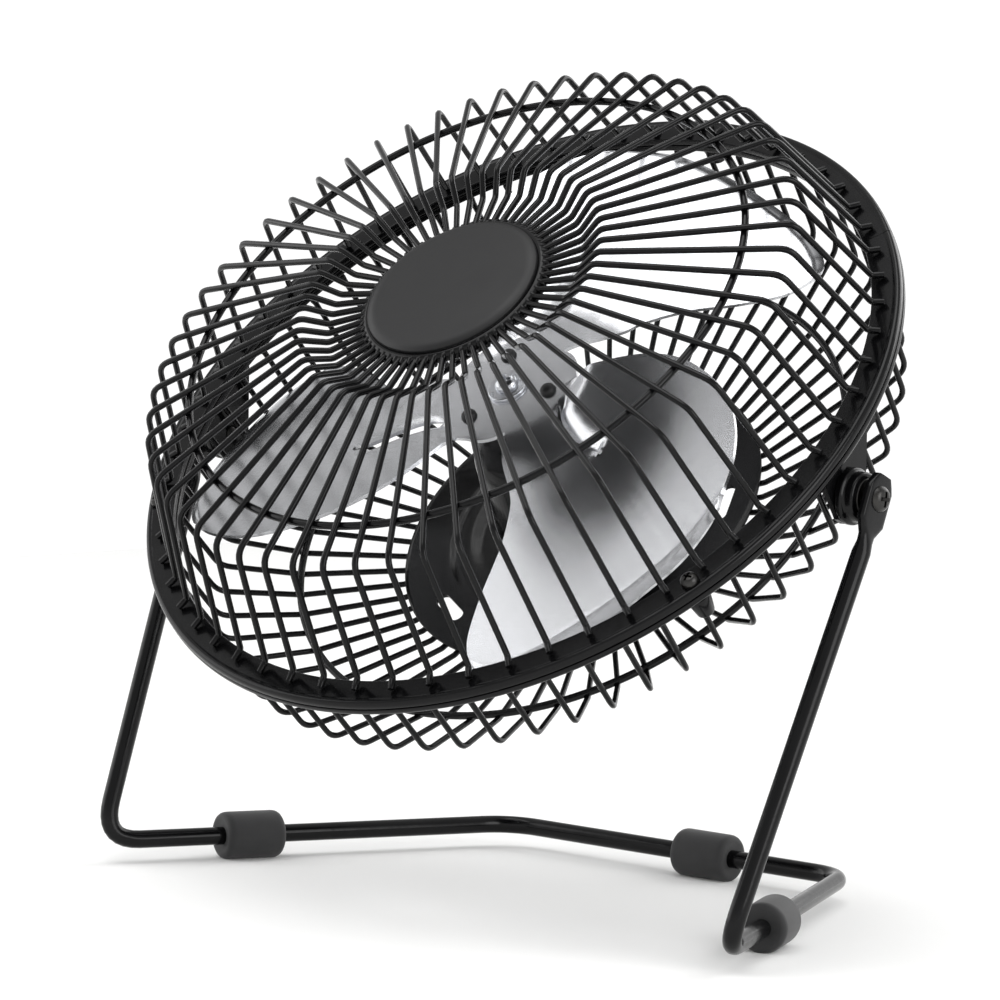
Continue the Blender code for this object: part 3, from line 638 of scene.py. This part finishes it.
# ---- Tilt pivots -------------------------------------------------------------------------------
# On each side a steel tab on the rear rim holds a stepped bush. The screw runs through the rod's
# eye and a washer into it, tight enough for friction to hold the head where it is put.
tilt_in_head = (tilt_at * MM - centre) @ head_axes.T / MM
for side, name in ((-1, "left"), (1, "right")):
    outward = sideways * side
    at = in_head([0, tilt_in_head[1], tilt_in_head[2]])
    tab = frame["nodes"]["pivot_bracket_" + name]
    tab.data.materials.clear()
    tab.data.materials.append(enamel)
    bush = round_off([(0, 91.0), (5.3, 91.0), (5.35, 88.8), (6.1, 88.5), (6.1, 87.0), (0, 87.0)],
                     [0, 0.6, 0.5, 0.5, 0.4, 0], closed=False)
    spun("stepped_bush_" + name, bush, enamel, "head", "black_paint", "pivot_bush_" + name,
         closed=False, at=at, axis=outward, steps=48)
    washer = round_off([(0, 91.45), (4.0, 91.45), (4.0, 90.95), (0, 90.95)], [0, 0.15, 0.15, 0],
                       closed=False)
    spun("flat_washer_" + name, washer, black_zinc, "head", "black_screw", "pivot_washer_" + name,
         closed=False, at=at, axis=outward, steps=40)
    cross_head_screw("tilt_screw_" + name, at + outward * 93.6 * MM, outward, 2.9, 2.4, 1.5, 8.2,
                     black_zinc, "head", "black_screw", "pivot_screw_" + name, spin=20)

# ---- Impeller ----------------------------------------------------------------------------------
# One blank of soft aluminium sheet, pressed into three scooped blades round a flat hub. Beside each
# root the sheet is slit, so that the blade's leading lobe steps up from the hub along a narrow
# bend. Rolled aluminium: bright and satin, with fine lines along the rolling direction and light
# handling marks. The lines are drawn about 0.3 mm apart, six times coarser than real ones.
aluminium, tree, shader = material("rolled_aluminium", "#d2d3d6", 0.19, 1.0)
place = add_node(tree, "ShaderNodeTexCoord", {}).outputs["Object"]
rolled = add_node(tree, "ShaderNodeMapping", {"Vector": place, "Scale": (90.0, 3300.0, 3300.0)})
lines = add_node(tree, "ShaderNodeTexNoise", {"Vector": rolled.outputs["Vector"], "Scale": 1.0,
                                              "Detail": 2.0})
smears = add_node(tree, "ShaderNodeTexNoise", {"Vector": place, "Scale": 55.0, "Detail": 4.0})
spread = add_node(tree, "ShaderNodeMapRange", {
    "Value": smears.outputs["Fac"], "From Min": 0.3, "From Max": 0.7, "To Min": 0.18,
    "To Max": 0.27})
shade = add_node(tree, "ShaderNodeMix", {
    "Factor": lines.outputs["Fac"], "A": linear("#c6c7ca"), "B": linear("#dcdde0")},
    data_type="RGBA")
bump = add_node(tree, "ShaderNodeBump", {"Height": lines.outputs["Fac"], "Strength": 0.1,
                                         "Distance": 0.00003})
tree.links.new(shade.outputs["Result"], shader.inputs["Base Color"])
tree.links.new(spread.outputs["Result"], shader.inputs["Roughness"])
tree.links.new(bump.outputs["Normal"], shader.inputs["Normal"])


def through(points, count):
    """A smooth curve through points: a Catmull-Rom spline, sampled evenly along its length."""
    points = np.asarray(points, float)
    padded = np.concatenate([2 * points[:1] - points[1:2], points, 2 * points[-1:] - points[-2:-1]])
    t = np.linspace(0, len(points) - 1, 600)
    i = np.minimum(t.astype(int), len(points) - 2)
    t = (t - i)[:, None]
    a, b, c, d = (padded[i + k] for k in range(4))
    curve = 0.5 * (2 * b + (c - a) * t + (2 * a - 5 * b + 4 * c - d) * t ** 2
                   + (3 * b - a - 3 * c + d) * t ** 3)
    length = np.concatenate([[0], np.cumsum(np.linalg.norm(np.diff(curve, axis=0), axis=1))])
    at = np.linspace(0, length[-1], count)
    return np.stack([np.interp(at, length, curve[:, k]) for k in range(2)], axis=-1)


def stretched(bottom, top, left, right):
    """A sheet stretched between four edge curves that meet at its corners (a Coons patch)."""
    u = np.linspace(0, 1, len(left))[:, None, None]
    t = np.linspace(0, 1, len(bottom))[None, :, None]
    ruled_up = (1 - u) * bottom[None] + u * top[None]
    ruled_across = (1 - t) * left[:, None] + t * right[:, None]
    corners = ((1 - u) * ((1 - t) * bottom[0] + t * bottom[-1])
               + u * ((1 - t) * top[0] + t * top[-1]))
    return ruled_up + ruled_across - corners


def ease(value, low, high):
    """Smooth step from 0 at low to 1 at high."""
    t = np.clip((value - low) / (high - low), 0, 1)
    return t * t * (3 - 2 * t)


# Edges of one blade, in shares of the rim's radius, from the hub outwards.
trailing = through([(0.076, -0.144), (0.103, -0.219), (0.145, -0.28), (0.171, -0.329),
                    (0.192, -0.429), (0.195, -0.56), (0.21, -0.67), (0.25, -0.738)], 72)
leading = through([(0.185, 0.045), (0.21, 0.066), (0.251, 0.078), (0.316, 0.092), (0.383, 0.1),
                   (0.45, 0.097), (0.514, 0.083), (0.573, 0.059), (0.629, 0.029), (0.679, -0.008),
                   (0.721, -0.052), (0.755, -0.104), (0.779, -0.16), (0.793, -0.219),
                   (0.797, -0.28)], 72)
slit_line = through([(0.166, -0.026), (0.2, -0.08), (0.27, -0.13), (0.372, -0.174),
                     (0.46, -0.26), (0.56, -0.40), (0.66, -0.548)], 72)
tip_back = through([(0.25, -0.738), (0.3, -0.762), (0.366, -0.754), (0.45, -0.715),
                    (0.575, -0.624), (0.66, -0.548)], 26)
tip_front = through([(0.66, -0.548), (0.744, -0.45), (0.785, -0.36), (0.797, -0.28)], 26)
root_back = through([(0.076, -0.144), (0.115, -0.117), (0.15, -0.07), (0.166, -0.026)], 26)
root_front = through([(0.166, -0.026), (0.17, 0.005), (0.185, 0.045)], 26)
notch = through([(0.185, 0.045), (0.165, 0.073), (0.15, 0.1), (0.122, 0.125),
                 (0.0867, 0.1378)], 20)
hub_height = 0.03
sheet = 0.8
slit_end = 0.41
slit_gap = 0.004
lobe_step, lobe_width = 0.02, 0.045
seam_step = 0.005
tip_lip = 0.014


def scoop(x, y):
    """Height of a blade: a plane tilted across the blade, with a slight twist and dish."""
    return 0.025 + 0.099 * x + 0.233 * y - 0.024 * x * y - 0.017 * y * y


def pressed(flat, bend_from, bend_to, side):
    """Heights for one half of a blade: hub level, then a bend, then the scoop with a lip turned
    back along the tip. Beside the slit a straight strip of the lobe is bent down."""
    x, y = flat[..., 0], flat[..., 1]
    radius = np.hypot(x, y)
    mix = ease(radius, bend_from, bend_to)
    height = hub_height * (1 - mix) + scoop(x, y) * mix
    u = np.linspace(0, 1, flat.shape[0])[:, None]
    t = np.linspace(0, 1, flat.shape[1])[None, :]
    from_slit = t if side > 0 else 1 - t
    height = height - tip_lip * ease(u, 0.95, 1.0) * (1 - ease(from_slit, 0.88, 1.0))
    open_slit = ease(radius, 0.172, 0.2) * (1 - ease(radius, slit_end - 0.03, slit_end))
    edge = open_slit * (1 - ease(from_slit, 0.0, 0.16))
    if side > 0:
        from_line = np.linalg.norm(flat - flat[:, :1], axis=-1)
        strip = np.clip(from_line / lobe_width, 0, 1)
        height = height - lobe_step * open_slit * (1 - strip)
    else:
        height = height - seam_step * edge
    shifted = flat + edge[..., None] * side * slit_gap * np.array([0.55, 0.83])
    return np.concatenate([shifted, height[..., None]], axis=-1)


back_half = pressed(stretched(root_back, tip_back, trailing, slit_line), 0.165, 0.34, -1)
front_half = pressed(stretched(root_front, tip_front, slit_line, leading), 0.168, 0.238, 1)
# The hub's rim takes its heights from the roots that it runs into, so that the sheet has no cracks.
notch_fall = 1 - ease(np.linspace(0, 1, len(notch)), 0.0, 0.6)
notch_height = hub_height + (front_half[0, -1, 2] - hub_height) * notch_fall
hub_edge = np.concatenate([back_half[0, :-1], front_half[0, :-1],
                           np.column_stack([notch, notch_height])[:-1]])
grids = []
hub_rows = []
for blade in range(3):
    c, s = np.cos(blade * 2 * np.pi / 3), np.sin(blade * 2 * np.pi / 3)
    rotate = np.array([[c, s, 0], [-s, c, 0], [0, 0, 1]])
    grids += [(in_head(half @ rotate * rim_r), False, False) for half in (back_half, front_half)]
    hub_rows.append(hub_edge @ rotate)
hub_outline = np.concatenate(hub_rows)
share = np.linspace(0, 1, 14)[:, None, None]
hub_rise = (hub_outline[None, :, 2:] - hub_height) * ease(share, 0.75, 1.0)
hub = np.concatenate([share * hub_outline[None, :, :2], hub_height + hub_rise], axis=-1)
grids.append((in_head(hub * rim_r), False, True))
blades = mesh_piece("impeller_sheet", grids, aluminium, 40)
if (blades.data.polygons[0].normal @ Vector(forward)) < 0:
    blades.data.flip_normals()
solid = blades.modifiers.new("sheet", "SOLIDIFY")
solid.thickness = sheet * MM
solid.offset = 0


def round_hole(x, y, radius):
    """A round bar through the sheet at a place, to cut a hole with."""
    profile = [(radius, 9.0), (radius, -9.0)]
    bar = turned(profile, in_head([x, y, hub_height * rim_r]), forward, 32)
    bar = np.swapaxes(bar, 0, 1)
    return mesh_piece("hole", [(capped(bar), False, True)], aluminium)


peg_circle = 10.8
holes = [round_hole(0, 0, 1.7)]
for blade in range(3):
    for radius, angle, hole_r in ((peg_circle, 1.0, 1.9), (36.9, -25.1, 1.0)):
        turn = np.radians(angle + blade * 120)
        holes.append(round_hole(radius * np.cos(turn), radius * np.sin(turn), hole_r))
cut(blades, *holes)
finish(blades, "impeller", "aluminium", "impeller")

# ---- Hub fixings -------------------------------------------------------------------------------
# A turned boss behind the sheet, and a broad washer and cross-head screw in front of it, clamp the
# impeller to the motor's shaft. All are zinc plated steel: bright, slightly blue, faintly mottled.
# Three black plastic pegs with domed heads fill the holes round them.
zinc, tree, shader = material("bright_zinc_plate", "#c9cace", 0.2, 1.0)
place = add_node(tree, "ShaderNodeTexCoord", {}).outputs["Object"]
spangle = add_node(tree, "ShaderNodeTexVoronoi", {"Vector": place, "Scale": 900.0})
shade = add_node(tree, "ShaderNodeMix", {
    "Factor": spangle.outputs["Distance"], "A": linear("#d6d7da"), "B": linear("#b4b7bd")},
    data_type="RGBA")
spread = add_node(tree, "ShaderNodeMapRange", {
    "Value": spangle.outputs["Distance"], "To Min": 0.15, "To Max": 0.3})
tree.links.new(shade.outputs["Result"], shader.inputs["Base Color"])
tree.links.new(spread.outputs["Result"], shader.inputs["Roughness"])
hub_w = hub_height * rim_r
face = hub_w + sheet / 2
washer = round_off([(0, face + 0.85), (4.7, face + 0.85), (4.7, face + 0.02), (0, face + 0.02)],
                   [0, 0.25, 0.1, 0], closed=False)
spun("hub_plain_washer", washer, zinc, "impeller", "bright_steel", "hub_washer", closed=False,
     steps=64)
cross_head_screw("hub_fixing", in_head([0, 0, face + 0.9]), forward, 2.7, 1.9, 1.2, 4.0, zinc,
                 "impeller", "bright_steel", "hub_screw", spin=35)
for number, angle in enumerate((1, 121, 241), 1):
    on_hub = np.array([np.cos(np.radians(angle)), np.sin(np.radians(angle)), 0]) * peg_circle
    peg = round_off([(0, face + 1.5), (1.3, face + 1.3), (1.8, face + 0.5), (1.8, hub_w - 1.2),
                     (0, hub_w - 1.2)], [0, 0.8, 0.5, 0.2, 0], closed=False)
    spun(f"hub_peg_{number}", peg, moulded, "impeller", "black_plastic", closed=False,
         at=in_head(on_hub), steps=32)
boss = round_off([(0, hub_w - 0.45), (5.5, hub_w - 0.45), (5.5, -3.9), (0, -3.9)],
                 [0, 0.3, 0.5, 0], closed=False)
spun("hub_turned_boss", boss, zinc, "impeller", "bright_steel", "hub_boss", closed=False, steps=64)
shaft = round_off([(0, -3.7), (1.6, -3.7), (1.6, -43.5), (0, -43.5)], [0, 0.1, 0.3, 0], False)
spun("steel_shaft", shaft, zinc, "impeller", "bright_steel", "motor_shaft", closed=False, steps=32)

# ---- Motor core ---------------------------------------------------------------------------------
# The rotor and stator are stacks of punched steel laminations, unseen inside the can: dull grey,
# with the edges of the punchings as fine lines round them. The shaft's two bearings are bright.
laminated, tree, shader = material("laminated_steel", "#6e6f72", 0.45, 1.0)
place = add_node(tree, "ShaderNodeTexCoord", {}).outputs["Object"]
stack = add_node(tree, "ShaderNodeTexWave", {"Vector": place, "Scale": 320.0})
shade = add_node(tree, "ShaderNodeMix", {
    "Factor": stack.outputs["Fac"], "A": linear("#55565a"), "B": linear("#808185")},
    data_type="RGBA")
tree.links.new(shade.outputs["Result"], shader.inputs["Base Color"])
for node, steel in (("rotor", laminated), ("stator", laminated), ("front_bearing", zinc),
                    ("rear_bearing", zinc)):
    core_piece = frame["nodes"][node]
    core_piece.data.materials.clear()
    core_piece.data.materials.append(steel)
